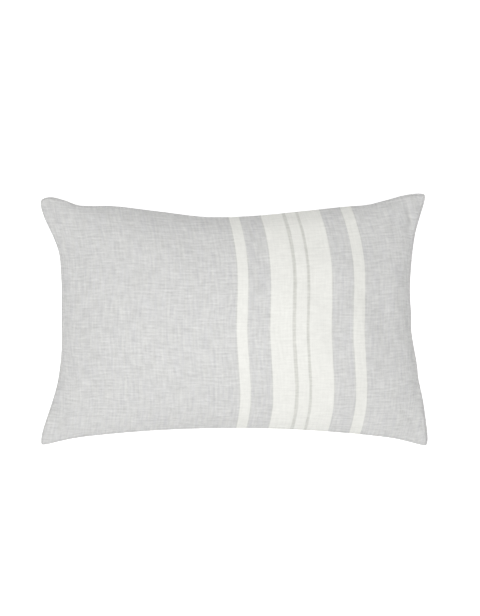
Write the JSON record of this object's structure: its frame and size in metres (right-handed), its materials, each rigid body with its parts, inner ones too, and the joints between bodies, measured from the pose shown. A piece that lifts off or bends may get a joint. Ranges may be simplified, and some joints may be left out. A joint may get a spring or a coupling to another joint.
{
  "type": "throw pillow",
  "caption": "Oblong throw pillow: a woven cover closed by a concealed zip in its lower seam, around a stuffed inner pad.",
  "frame": {"origin": "middle of the flat patch that the pillow rests on when it lies on its back", "axes": "+Z out of the striped front face, +X along the width towards the striped end, +Y up the front face, away from the zip"},
  "size_m": [0.597, 0.391, 0.1453],
  "materials": {
    "cover_striped_linen": "matte",
    "cover_plain_linen": "matte",
    "sewing_thread": "matte",
    "zip_tape": "matte",
    "zip_coil": "satin",
    "zip_metal": "satin",
    "label_ribbon": "satin",
    "pad_ticking": "matte",
    "pad_fibre": "matte"
  },
  "bodies": {
    "pillow": {"cover_front": "cover_striped_linen", "cover_back": "cover_plain_linen", "cover_seam_thread": "sewing_thread", "zip_tape_front": "zip_tape", "zip_tape_back": "zip_tape", "zip_coil_front": "zip_coil", "zip_coil_back": "zip_coil", "zip_top_stop_front": "zip_metal", "zip_top_stop_back": "zip_metal", "zip_bottom_stop": "zip_metal", "zip_bar_tack_right": "sewing_thread", "zip_bar_tack_left": "sewing_thread", "care_label": "label_ribbon", "insert_case_front": "pad_ticking", "insert_case_back": "pad_ticking", "insert_seam_thread": "sewing_thread", "insert_filling": "pad_fibre"},
    "slider": {"zip_slider": "zip_metal"},
    "tab": {"zip_pull_tab": "zip_metal"}
  },
  "joints": [
    {"name": "zip_travel", "type": "hinge", "parent": "pillow", "child": "slider", "pos_m": [0, -2.167, 0.06665], "axis": [0, 0, 1], "range_deg": [0, 12]},
    {"name": "tab_swing", "type": "hinge", "parent": "slider", "child": "tab", "pos_m": [0.20943, -0.17498, 0.06665], "axis": [0, 0, 1], "range_deg": [0, 175]}
  ]
}
